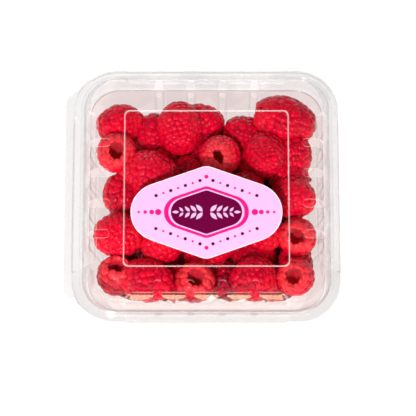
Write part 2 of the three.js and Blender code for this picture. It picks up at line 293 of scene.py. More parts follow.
@dataclass(frozen=True)
class BerryFlesh(Finish):
    """Ripe raspberry skin: juicy and translucent under a fine down that pales it at the edges.

    The ripeness and rim attributes vary it from bead to bead; ripeness also carries painted shade, darker
    deep in the heap and between the beads.
    """

    deep_painted_shade: str = "80001a"  # painted shade for what lies deep in the heap
    dark: str = "bc0027"
    ripe: str = "e8002e"
    bright: str = "fa0835"
    rim: str = "f83a46"
    down: float = 0.03

    def shade(self, tree: NodeTree) -> Node:
        """Adds mottled flesh under a moist coat."""
        ramp = add(tree, "ValToRGB", None, Fac=attribute(tree, "ripeness_and_shade"))
        stops = ramp.color_ramp.elements
        stops[0].position, stops[0].color = 0.0, linear(self.deep_painted_shade)
        stops[1].position, stops[1].color = 0.9, linear(self.bright)
        stops.new(0.2).color = linear(self.dark)
        stops.new(0.5).color = linear(self.ripe)
        edged = mixed(tree, attribute(tree, "rim"), ramp.outputs[0], self.rim)
        # Mottling of about 3 mm, the size of one bead.
        mottle = noise(tree, 330.0, 3.0, 0.55)
        deeper = mixed(tree, mottle, edged, "e0c0c4", "MULTIPLY")
        skin = add(tree, "Bump", {"Strength": 0.25, "Distance": 0.0002}, Height=mottle)
        return add(
            tree, "BsdfPrincipled",
            {
                "Roughness": 0.3,
                "IOR": 1.36,
                "Specular IOR Level": 0.05,
                "Coat Weight": 0.6,
                "Coat Roughness": 0.11,
                "Coat IOR": 1.5,
                "Specular Tint": linear("f6a0ae"),
                "Subsurface Weight": 0.25,
                "Subsurface Radius": (1.0, 0.16, 0.12),
                "Subsurface Scale": 0.0018,
                "Sheen Weight": self.down,
                "Sheen Roughness": 0.5,
                "Sheen Tint": linear("f4506c"),
            },
            Base_Color=deeper,
            Normal=skin.outputs[0],
        )


@dataclass(frozen=True)
class BerryHollow(Finish):
    """The velvety inside of a picked raspberry."""

    colour: str = "d80e2e"
    deep: str = "a80620"

    def shade(self, tree: NodeTree) -> Node:
        """Adds dull flesh with a pit for each seed."""
        place = add(tree, "TexCoord")
        # Pits of about 2.4 mm, one behind each bead.
        pitted = {"Scale": 420.0, "Randomness": 0.8}
        cells = add(tree, "TexVoronoi", pitted, Vector=place.outputs["Object"]).outputs["Distance"]
        pits = add(tree, "Bump", {"Strength": 0.4, "Distance": 0.0004}, Height=cells)
        return add(
            tree, "BsdfPrincipled", {"Roughness": 0.7, "IOR": 1.38, "Sheen Weight": 0.1},
            Base_Color=mixed(tree, cells, self.colour, self.deep), Normal=pits.outputs[0],
        )


@dataclass(frozen=True)
class StudioFloor(Finish):
    """Plain pale acrylic table, lit from below so that it stays pale under a clear pack."""

    colour: str = "909090"
    glow: float = 0.84

    def shade(self, tree: NodeTree) -> Node:
        """Adds a dull board with an even glow."""
        return add(
            tree, "BsdfPrincipled",
            {
                "Base Color": linear(self.colour),
                "Roughness": 0.9,
                "Specular IOR Level": 0.1,
                "Emission Color": linear("ffffff"),
                "Emission Strength": self.glow,
            },
        )


# ---- Meshes ----


def make_piece(
    bm: BMesh,
    name: str,
    finishes: Sequence[Material],
    body: Body,
    node: str,
    sharp: float = 50.0,
) -> Object:
    """Turns a mesh in pack millimetres into a finished piece that rides on its body.

    Args:
        bm: The mesh, which is used up.
        name: The piece's name.
        finishes: Its materials, by the faces' material numbers.
        body: The body that carries it.
        node: The frame's node that it stands for.
        sharp: Edges that turn more than this many degrees stay sharp.

    Returns:
        The new object.
    """
    place = Matrix.Translation((PACK_X * MM, 0.0, 0.0)) @ Matrix.Scale(MM, 4)
    bmesh.ops.transform(bm, matrix=place, verts=bm.verts)
    mesh = bpy.data.meshes.new(name)
    bm.edges.index_update()
    open_edges = [e.index for e in bm.edges if e.is_boundary]
    bm.to_mesh(mesh)
    bm.free()
    for finish in finishes:
        mesh.materials.append(finish)
    mesh.shade_smooth()
    mesh.set_sharp_from_angle(angle=math.radians(sharp))
    for index in open_edges:  # a sheet stays flat right up to its cut edge
        mesh.edges[index].use_edge_sharp = True
    piece = bpy.data.objects.new(name, mesh)
    bpy.context.scene.collection.objects.link(piece)
    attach(piece, body.value)
    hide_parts(node)
    LOG.info("%s: %d faces on %s", name, len(mesh.polygons), body.value)
    return piece


def thicken(piece: Object, sheet: float) -> None:
    """Gives a sheet its wall, inwards from its outer face.

    Args:
        piece: The sheet; its second material is its cut edge.
        sheet: The wall in millimetres.
    """
    wall = piece.modifiers.new("sheet", "SOLIDIFY")
    wall.thickness = sheet * MM
    wall.offset = -1.0
    wall.material_offset_rim = 1


def smooth_curve(points: Sequence[tuple[float, float]], steps: int) -> list[Vector]:
    """Rounds a run of points with a curve through all of them.

    Args:
        points: The points.
        steps: Points per span.

    Returns:
        Points of the curve.
    """
    knots = [Vector(p) for p in points]
    knots = [2 * knots[0] - knots[1], *knots, 2 * knots[-1] - knots[-2]]
    curve = []
    for a, b, c, d in zip(knots, knots[1:], knots[2:], knots[3:]):
        for step in range(steps):
            t = step / steps
            curve.append(
                0.5 * (2 * b + (c - a) * t + (2 * a - 5 * b + 4 * c - d) * t * t
                       + (3 * b - a - 3 * c + d) * t**3)
            )
    return [*curve, knots[-2]]


def smooth_step(low: float, high: float, value: float) -> float:
    """Eases from 0 at low to 1 at high."""
    t = min(1.0, max(0.0, (value - low) / (high - low)))
    return t * t * (3 - 2 * t)


@dataclass(frozen=True)
class Station:
    """One place on every ring of a shell: its side, and how far along it or round its corner."""

    side: int
    along: float
    corner: float | None = None


class SquareRings:
    """Rings of a square shell with round corners, all with the same stations."""

    REACH = 40.7  # along of the last station before a corner, on the ring that sets the spacing
    FIXED = 38.9  # stations nearer than this to a side's middle keep their place on every ring

    def __init__(self, alongs: Sequence[float], corner_steps: int) -> None:
        """Lists the stations.

        Args:
            alongs: Where the stations lie on half a side, from its middle; they are mirrored.
            corner_steps: Spans round each corner.
        """
        half_side = sorted({round(a, 3) for a in alongs} | {self.REACH})
        side = sorted({*half_side, *(-a for a in half_side)})
        self.stations: list[Station] = []
        for number in range(4):
            self.stations += [Station(number, a) for a in side]
            self.stations += [
                Station(number, self.REACH, k / corner_steps * math.pi / 2)
                for k in range(1, corner_steps)
            ]

    def point(self, station: Station, half: float, radius: float) -> Vector:
        """Finds a station on a ring.

        Args:
            station: The station.
            half: Half the ring's side at this station.
            radius: The ring's corner radius.

        Returns:
            The point in plan.
        """
        length = half - radius
        if station.corner is not None:
            turn = Vector((math.cos(station.corner), math.sin(station.corner)))
            spot = Vector((length, length)) + radius * turn
        else:
            along = abs(station.along)
            fixed = min(self.FIXED, length - 4.0)
            if along > fixed:
                along = fixed + (along - fixed) * (length - fixed) / (self.REACH - fixed)
            spot = Vector((half, math.copysign(along, station.along)))
        spot.rotate(Matrix.Rotation(station.side * math.pi / 2, 2))
        return spot

    def start(self) -> tuple[BMesh, list[BMEdge]]:
        """Starts a shell with one open ring of vertices that know their stations."""
        bm = bmesh.new()
        number = bm.verts.layers.int.new("station")
        bm.verts.layers.int.new("ring")
        bm.verts.layers.float.new("crease")
        bm.verts.layers.float.new("bend")
        bm.verts.layers.float.new("warm_walls")
        ring = bmesh.ops.create_circle(bm, segments=len(self.stations), radius=1.0)["verts"]
        for index, vert in enumerate(ring):
            vert[number] = index
        return bm, list(bm.edges)


def extruded(bm: BMesh, edges: Sequence[BMEdge]) -> tuple[list, list]:
    """Extrudes an open rim.

    Args:
        bm: The mesh.
        edges: The rim.

    Returns:
        The new rim's vertices and edges.
    """
    made = bmesh.ops.extrude_edge_only(bm, edges=list(edges))["geom"]
    verts = [g for g in made if isinstance(g, BMVert)]
    fresh = set(verts)
    rim = [g for g in made if isinstance(g, BMEdge) and fresh.issuperset(g.verts)]
    return verts, rim


@dataclass(frozen=True)
class HingeWeb:
    """The flat strip beyond the left flange that the lid folds along."""

    # Share of the way from the flange to the web's edge, and share of the drop to the fold's height.
    rows: tuple = ((0.1, 0.0), (0.22, 0.0), (0.86, 0.0), (0.96, 0.35), (1.0, 1.0))
    edge_crease: float = 0.2
    # painted shade over the whole web
    web_painted_shade: float = 0.02

    def outline(self, spot: Vector) -> Vector:
        """Finds where a point of the flange's left edge comes to on the web's outer edge.

        Args:
            spot: The point of the flange's edge, in plan.

        Returns:
            The web's own point.
        """
        centre = FLANGE_CENTRE
        reach = HINGE_EDGE - centre
        corner_y = centre + (FLANGE_RADIUS + reach * math.cos(HINGE_END)) / math.sin(HINGE_END)
        y = abs(spot.y)
        if y <= centre:
            found = Vector((-HINGE_EDGE, y + (corner_y - centre) * smooth_step(0.7 * centre, centre, y)))
        else:
            tangent = Vector((-centre + FLANGE_RADIUS * math.cos(HINGE_END), HINGE_END_Y))
            share = min(1.0, (y - centre) / (tangent.y - centre))
            found = Vector((-HINGE_EDGE, corner_y)).lerp(tangent, share)
        found.y = math.copysign(found.y, spot.y)
        return found

    def grow(self, bm: BMesh, rim: Sequence, level: float, fold: float) -> None:
        """Extrudes the web out of a shell's outer ring.

        Args:
            bm: The shell.
            rim: The edges of its outer ring.
            level: Height of the flange's face.
            fold: Height of the sheet's face at the fold.
        """
        number = bm.verts.layers.int["station"]
        crease = bm.verts.layers.float["crease"]
        painted_bend_shade = bm.verts.layers.float["bend"]
        edges = [
            e for e in rim
            if all(v.co.x < -FLANGE_CENTRE and abs(v.co.y) < HINGE_END_Y + 0.05 for v in e.verts)
        ]
        starts = {v[number]: v.co.copy() for e in edges for v in e.verts}
        for share, drop in self.rows:
            verts, edges = extruded(bm, edges)
            for vert in verts:
                start = starts[vert[number]]
                plan = start.xy.lerp(self.outline(start.xy), share)
                vert.co = (plan.x, plan.y, level - drop * (level - fold))
                vert[crease] = self.edge_crease if share == 1.0 else 0.0
                vert[painted_bend_shade] = self.web_painted_shade
        bmesh.ops.remove_doubles(bm, verts=bm.verts, dist=0.005)


def close_shell(bm: BMesh, rim: Sequence[BMEdge]) -> None:
    """Fills a shell's last ring with a flat face and turns all its faces to the upper side.

    Args:
        bm: The shell.
        rim: The edges of its last ring.
    """
    bmesh.ops.edgenet_fill(bm, edges=rim)
    bmesh.ops.recalc_face_normals(bm, faces=bm.faces)
    if next(f for f in bm.faces if len(f.verts) > 20).normal.z < 0:
        bmesh.ops.reverse_faces(bm, faces=bm.faces)


# ---- Tray ----


@dataclass
class TrayShell:
    """The deep square tray: ribbed walls, a stepped shoulder, a wide flange and drain slots."""

    floor_half: float = 47.6
    floor_radius: float = 11.0
    step_half: float = 54.9
    shoulder_z: float = 29.3
    fold_half: float = 54.7  # the tight bend where the shoulder turns down into the wall
    mouth_half: float = 57.5
    mouth_radius: float = 14.5
    rib_depth: float = 1.1
    rib_half: float = 2.6
    lip_z: float = 33.8
    drain_reach: float = 22.0
    drain_length: float = 10.0
    web_drop: float = 0.62  # how far the hinge leaf's root lies below the flange's face
    web_fold_z: float = 36.02
    flank_painted_shade: float = 0.4  # painted shade: how dark the ribs' flanks and the shoulder's fold look
    # painted shade that the whole flange passes
    flange_painted_shade_base: float = 0.05

    def wall(self, z: float) -> float:
        """Half the tray's outer width at a height below the shoulder."""
        return self.floor_half + (self.step_half - self.floor_half) * z / self.shoulder_z

    def radius(self, half: float) -> float:
        """Corner radius of the wall where it is this wide."""
        share = (half - self.floor_half) / (self.mouth_half - self.floor_half)
        return self.floor_radius + (self.mouth_radius - self.floor_radius) * share

    def rings(self) -> list[tuple[float, float, float, float, float]]:
        """Lists the rings of the inner face from the lip to the floor.

        Returns:
            Half side, corner radius, height, rib depth and crease of each ring.
        """
        flange = [
            (62.25, self.lip_z, 0.15), (62.25, 35.5, 0.0), (62.14, 35.83, 0.05), (61.8, 36.0, 0.0),
            (60.4, 36.0, 0.0), (58.3, 36.0, 0.0),
        ]
        rows = [(half, FLANGE_RADIUS - (FLANGE_HALF - half), z, 0.0, crease) for half, z, crease in flange]
        throat = [(57.55, 35.95, 0.2), (57.25, 35.7, 0.25), (57.1, 35.2, 0.1), (56.4, 32.2, 0.0)]
        throat += [(55.75, 29.75, 0.1), (55.6, 29.35, 0.3), (55.2, 29.1, 0.1), (self.fold_half, 28.95, 0.1)]
        throat += [(54.45, 28.6, 0.1)]
        rows += [(half, self.radius(half), z, 0.0, crease) for half, z, crease in throat]
        ribbed = [(28.0, 0.25), (27.4, 0.75), (26.7, 1.0), (21.0, 1.0), (16.0, 1.0), (11.0, 1.0)]
        ribbed += [(5.8, 1.0), (5.0, 0.75), (4.2, 0.25), (3.4, 0.0)]
        for z, share in ribbed:
            half = self.wall(z) - SHEET
            rows.append((half, self.radius(half), z, share * self.rib_depth, 0.0))
        for k in range(1, 6):
            turn = k / 5 * math.pi / 2
            half = self.wall(3.0) - SHEET - 2.9 * (1 - math.cos(turn))
            rows.append((half, self.radius(half), 3.3 - 2.9 * math.sin(turn), 0.0, 0.05))
        flat = half - 1.2
        rows.append((flat, self.radius(flat), SHEET, 0.0, 0.0))
        return rows

    def cut_drains(self, bm: BMesh) -> None:
        """Opens a round-ended drain slot on each side of the floor's middle.

        Args:
            bm: The shell, with a flat floor face.
        """
        half_length = self.drain_length / 2
        for quarter in range(4):
            turn = Matrix.Rotation(quarter * math.pi / 2, 3, "Z")
            centre = turn @ Vector((0.0, self.drain_reach + half_length, SHEET))
            window = [f for f in bm.faces if abs(f.normal.z) > 0.99 and f.calc_center_median().z < 1.0]
            planes = []
            for k in range(16):
                angle = k / 16 * 2 * math.pi
                side = Vector((math.cos(angle), math.sin(angle), 0.0))
                end = math.copysign(half_length - SLOT_HALF, side.y) if abs(side.y) > 1e-6 else 0.0
                planes.append((side, Vector((0.0, end, 0.0)) + side * SLOT_HALF))
            inside = window
            for side, at in planes:
                geometry = {g for f in inside for g in (f, *f.edges, *f.verts)}
                cut = bmesh.ops.bisect_plane(
                    bm, geom=list(geometry), plane_co=centre + turn @ at, plane_no=turn @ side
                )["geom"]
                faces = [g for g in cut if isinstance(g, BMFace)]
                inside = [
                    f for f in faces
                    if (f.calc_center_median() - centre - turn @ at).dot(turn @ side) < 0
                ]
            bmesh.ops.delete(bm, geom=inside, context="FACES")

    def build(self, sheet: Material, edge: Material) -> Object:
        """Builds the tray.

        Args:
            sheet: Its clear sheet.
            edge: The sheet's cut edge.

        Returns:
            The piece.
        """
        spread = (0.0, 0.6, 1.2, 1.7, 2.1, 2.6, 3.1)
        alongs = [abs(v + s * d) for v in VENT_OFFSETS for d in spread for s in (-1, 1)]
        outline = SquareRings([0.0, 13.0, 15.0, 17.0, 29.0, 33.0, 37.0, *alongs], 18)
        bm, rim = outline.start()
        outer = rim
        number = bm.verts.layers.int["station"]
        crease = bm.verts.layers.float["crease"]
        painted_bend_shade = bm.verts.layers.float["bend"]
        warm_walls = bm.verts.layers.float["warm_walls"]
        verts = list(bm.verts)
        for index, (half, radius, z, rib, whitened) in enumerate(self.rings()):
            if index:
                verts, rim = extruded(bm, rim)
            for vert in verts:
                station = outline.stations[vert[number]]
                out = 0.0
                if rib and station.corner is None:
                    near = min(abs(station.along - v) for v in VENT_OFFSETS)
                    out = rib * (1 - smooth_step(0.9, self.rib_half, near))
                spot = outline.point(station, half + out, radius + out)
                if out:
                    spot = outline.point(station, half, radius)
                    side = Vector((out, 0.0))
                    side.rotate(Matrix.Rotation(station.side * math.pi / 2, 2))
                    spot += side
                vert.co = (spot.x, spot.y, z)
                vert[crease] = whitened
                flank = out / self.rib_depth
                # Painted shade on the ribs' flanks and the shoulder's fold.
                vert[painted_bend_shade] = self.flank_painted_shade * (flank * (1 - flank) + float(half == self.fold_half))
                if half > self.mouth_half:
                    # Painted shade on the flange, darker towards the front.
                    vert[painted_bend_shade] = self.painted_flange_shade(spot.y)
                vert[warm_walls] = float(half <= self.fold_half)
        close_shell(bm, rim)
        for vert in {v for e in outer for v in e.verts}:  # the turned-down edge ends where the web starts
            if vert.co.x < -FLANGE_CENTRE and abs(vert.co.y) < HINGE_END_Y + 0.2:
                vert.co.z = FLANGE_Z - self.web_drop
        HingeWeb().grow(bm, outer, FLANGE_Z, self.web_fold_z)
        self.cut_drains(bm)
        tray = make_piece(bm, "tray_shell", [sheet, edge], Body.BASE, "tray")
        thicken(tray, SHEET)
        return tray

    def painted_flange_shade(self, y: float) -> float:
        """Painted shade on the flange: how much it darkens what it passes, least at the back, most at the
        front.
        """
        return self.flange_painted_shade_base - 0.035 * smooth_step(30.0, 60.0, y) + 0.1 * smooth_step(20.0, 58.0, -y)


# ---- Lid ----


@dataclass
class LidShell:
    """The domed lid: a beaded flange, a vent bevel with slots on each side and an embossed square."""

    rim_z: float = 36.75
    top_z: float = 45.6
    top_half: float = 55.2
    dome_radius: float = 14.5
    top_round: float = 1.2
    fold: float = 50.7
    fold_round: float = 1.4
    bevel_foot: float = 54.9
    bevel_drop: float = 2.8
    bevel_flat: float = 3.6  # run of its flat, past which it steepens into the wall
    bevel_half_length: float = 38.0
    bevel_radius: float = 5.5
    slot_inner: float = 44.9
    slot_outer: float = 54.9
    panel_half: float = 38.6
    panel_line: float = 0.7
    panel_rise: float = 0.4
    panel_radius: float = 2.4
    scallop_pitch: float = 15.0
    scallop_half: float = 1.9
    scallop_depth: float = 0.9
    detent_along: float = -34.0
    detent_half: float = 3.4
    web_fold_z: float = 36.5
    ridge_crease: float = 0.75  # how milky the embossed line, the bevel's fold and its ends are
    fold_crease: float = 0.3
    end_crease: float = 0.35
    detent_rise: float = 0.55
    # Tight bends of the section, which get painted shade: distance from the middle, reach and strength.
    bends: tuple = ((62.25, 0.25, 0.1), (58.74, 0.22, 0.1), (57.62, 0.3, 0.3), (55.05, 0.35, 0.15))

    def profile(self) -> list[tuple[float, float, float]]:
        """Lists the plain section from the flange's edge to the top.

        Returns:
            Distance from the middle, height and crease of each point.
        """
        z, top = self.rim_z, self.top_z
        return [
            (62.25, z - 0.36, 0.1), (62.12, z - 0.1, 0.05), (61.8, z, 0.0), (60.2, z, 0.0),
            (59.85, z + 0.06, 0.0), (59.62, z + 0.27, 0.0), (59.42, z + 0.4, 0.05),
            (59.2, z + 0.45, 0.1), (58.98, z + 0.4, 0.05), (58.78, z + 0.27, 0.0),
            (58.55, z + 0.06, 0.0), (58.25, z, 0.0), (57.95, z + 0.06, 0.15), (57.7, z + 0.3, 0.2),
            (57.5, z + 0.9, 0.1), (57.0, z + 2.38, 0.0), (56.5, z + 3.85, 0.0), (55.97, z + 5.41, 0.0),
            (55.6, z + 6.5, 0.0), (self.top_half, top - self.top_round, 0.05),
            (55.1, top - 0.8, 0.1), (54.9, top - 0.46, 0.12), (54.58, top - 0.2, 0.12),
            (54.2, top - 0.05, 0.06), (53.8, top, 0.0), (0.0, top, 0.0),
        ]

    def ring_halves(self) -> list[float]:
        """Lists where the rings lie, from the flange's edge inwards."""
        shell = [n for n, _, _ in self.profile() if n > 53.0]
        bevel = [53.1, 52.6, 52.2, 51.9, 51.6, 51.3, 51.05, 50.85, 50.7, 50.5, 50.1, 49.3, 48.2, 47.2]
        inner = [self.slot_inner, 44.0, 42.0, 40.0, 38.95, 38.75, 38.61, 38.47, 38.31, 38.15, 37.99]
        return sorted({*shell, *bevel, *inner, 37.83, 37.69, 37.55, 36.5}, reverse=True)

    def ring_radius(self, half: float) -> float:
        """Corner radius of a ring."""
        if half > 58.2:
            return FLANGE_RADIUS - (FLANGE_HALF - half)
        if half > self.top_half:
            share = (half - self.top_half) / (58.2 - self.top_half)
            return self.dome_radius + share * 1.45
        return max(self.panel_radius, self.dome_radius - (self.top_half - half))

    def warped(self, half: float, station: Station) -> float:
        """Bends a ring round the ends of the slots.

        Args:
            half: The ring's distance from the middle.
            station: Where on the ring.

        Returns:
            The distance at this station.
        """
        if station.corner is not None:
            return half
        across = min(abs(station.along - v) for v in VENT_OFFSETS)
        if across > SLOT_HALF + 1e-4:
            return half
        bulge = SLOT_HALF - math.sqrt(max(0.0, SLOT_HALF**2 - across**2))
        knots = [
            (44.0, 44.0), (self.slot_inner, self.slot_inner + bulge), (47.2, 47.2), (52.6, 52.6),
            (self.slot_outer, self.slot_outer - bulge), (55.97, 55.97),
        ]
        for (a, a_out), (b, b_out) in zip(knots, knots[1:]):
            if a <= half <= b:
                return a_out + (b_out - a_out) * (half - a) / (b - a)
        return half

    def bevel_depth(self, half: float) -> float:
        """How far the vent bevel lies below the top, at a distance from the middle."""
        run = half - self.fold
        if run <= 0:
            return 0.0
        slope = self.bevel_drop / (self.bevel_foot - self.fold - self.fold_round / 2)
        if run < self.fold_round:
            return slope * run * run / (2 * self.fold_round)
        steeper = max(0.0, run - self.bevel_flat)
        return slope * (run - self.fold_round / 2) + 0.35 * steeper * smooth_step(-0.2, 0.6, steeper)

    def bevel_share(self, half: float, along: float) -> float:
        """How much of the vent bevel there is, from 1 along a side to 0 past its rounded ends."""
        run = half - self.fold
        if run <= 0:
            return 0.0
        left = max(0.0, self.bevel_radius - run)
        round_off = self.bevel_radius - math.sqrt(max(0.0, self.bevel_radius**2 - left**2))
        return smooth_step(-0.5, 0.9, self.bevel_half_length - round_off - abs(along))

    def section(self, half: float) -> tuple[float, float]:
        """Height and crease of the plain section at a distance from the middle."""
        points = self.profile()
        for (a, za, ca), (b, zb, cb) in zip(points, points[1:]):
            if b <= half <= a:
                share = (a - half) / (a - b)
                return za + (zb - za) * share, ca + (cb - ca) * share
        return points[-1][1], 0.0

    def surface(self, station: Station, half: float, spot: Vector) -> tuple[float, float]:
        """Finds the sheet's outer face.

        Args:
            station: The station on its ring.
            half: The ring's distance from the middle.
            spot: The point in plan.

        Returns:
            Height and crease.
        """
        z, crease = self.section(half)
        if station.corner is not None:
            rise = self.ridge(half)
            return z + rise, crease + self.ridge_crease * rise / self.panel_rise
        along = min(abs(spot.x), abs(spot.y))
        share = self.bevel_share(half, along)
        cut = max(0.0, z - (self.top_z - self.bevel_depth(half)))
        z -= share * cut
        if share:
            crease += self.fold_crease * share * (1 - smooth_step(0.1, 0.5, abs(half - self.fold - 0.2)))
            crease += self.end_crease * 4 * share * (1 - share) * smooth_step(0.1, 0.6, cut)
            z -= share * self.scallop(half, station.along)
        if station.side in (0, 2) and 57.6 < half < 60.0:
            # The side's stations run towards +Y on the right and towards -Y on the left.
            across = station.along if station.side == 0 else -station.along
            away = abs(across - self.detent_along)
            bump = 1 - smooth_step(self.detent_half - 1.2, self.detent_half, away)
            z += self.detent_rise * bump * (1 - smooth_step(0.3, 1.0, abs(half - 58.3)))
            crease += 0.5 * bump * (1 - smooth_step(0.1, 0.6, abs(half - 58.0)))
        rise = self.ridge(half)
        return z + rise, crease + self.ridge_crease * rise / self.panel_rise

    def bend(self, half: float) -> float:
        """How much painted shade the section's tight bends give at a distance from the middle, from 0 to 1.
        """
        return max(
            strength * (1 - smooth_step(0.3 * reach, reach, abs(half - at)))
            for at, reach, strength in self.bends
        )

    def fold_painted_shade(self, half: float, station: Station) -> float:
        """Painted shade where the sheet bends just past the vent bevel's fold, strongest on the front side,
        from 0 to 1.
        """
        if station.corner is not None:
            return 0.0
        near = 1 - smooth_step(0.3, 0.6, abs(half - self.fold - 0.9))
        return (0.45 if station.side == 3 else 0.12) * near * self.bevel_share(half, abs(station.along))

    def ridge(self, half: float) -> float:
        """Rise of the embossed square line."""
        middle = self.panel_half - self.panel_line / 2
        across = abs(half - middle) / (self.panel_line / 2 + 0.08)
        return self.panel_rise * (1 - smooth_step(0.15, 1.0, across))

    def scallop(self, half: float, along: float) -> float:
        """Depth of the half-round notches along the bevel's foot, between the slots."""
        nearest = round(along / self.scallop_pitch) * self.scallop_pitch
        if abs(nearest) > 31:
            return 0.0
        across = (along - nearest) / self.scallop_half
        down = (half - 55.5) / 1.2
        return self.scallop_depth * max(0.0, 1 - across * across - down * down)

    def build(self, sheet: Material, edge: Material) -> Object:
        """Builds the lid.

        Args:
            sheet: Its clear sheet.
            edge: The sheet's cut edge.

        Returns:
            The piece.
        """
        slot_spread = [SLOT_HALF * math.sin(math.radians(a)) for a in (0, 22.5, 45, 67.5, 90)]
        alongs = [abs(v + s * d) for v in VENT_OFFSETS for d in slot_spread for s in (-1, 1)]
        scallop_spread = (0.0, 0.5, 1.0, 1.45, 1.9)
        alongs += [abs(c + s * d) for c in (0, 15, 30) for d in scallop_spread for s in (-1, 1)]
        alongs += [32.6, 33.4, 34.2, 35.0, 35.8, 36.6, 37.1, 37.5, 37.9, 38.3, 38.7, 39.5]
        outline = SquareRings(alongs, 18)
        bm, rim = outline.start()
        outer = rim
        number = bm.verts.layers.int["station"]
        ring = bm.verts.layers.int["ring"]
        whitened = bm.verts.layers.float["crease"]
        painted_bend_shade = bm.verts.layers.float["bend"]
        verts = list(bm.verts)
        halves = self.ring_halves()
        for index, nominal in enumerate(halves):
            if index:
                verts, rim = extruded(bm, rim)
            for vert in verts:
                station = outline.stations[vert[number]]
                half = self.warped(nominal, station)
                spot = outline.point(station, half, self.ring_radius(nominal) + half - nominal)
                z, crease = self.surface(station, half, spot)
                vert.co = (spot.x, spot.y, z)
                vert[ring] = index
                vert[whitened] = min(1.0, crease)
                vert[painted_bend_shade] = max(self.bend(nominal), self.fold_painted_shade(half, station))
        close_shell(bm, rim)
        first, last = halves.index(self.slot_outer), halves.index(self.slot_inner)
        opened = []
        for face in bm.faces:
            stations = [outline.stations[v[number]] for v in face.verts]
            if not all(first <= v[ring] <= last for v in face.verts) or len(stations) > 4:
                continue
            if any(
                all(s.corner is None and abs(s.along - v) < SLOT_HALF + 1e-3 for s in stations)
                for v in VENT_OFFSETS
            ):
                opened.append(face)
        bmesh.ops.delete(bm, geom=opened, context="FACES")
        HingeWeb().grow(bm, outer, self.rim_z - 0.05, self.web_fold_z)
        lid = make_piece(bm, "lid_shell", [sheet, edge], Body.COVER, "lid")
        thicken(lid, SHEET)
        return lid


# ---- Label ----


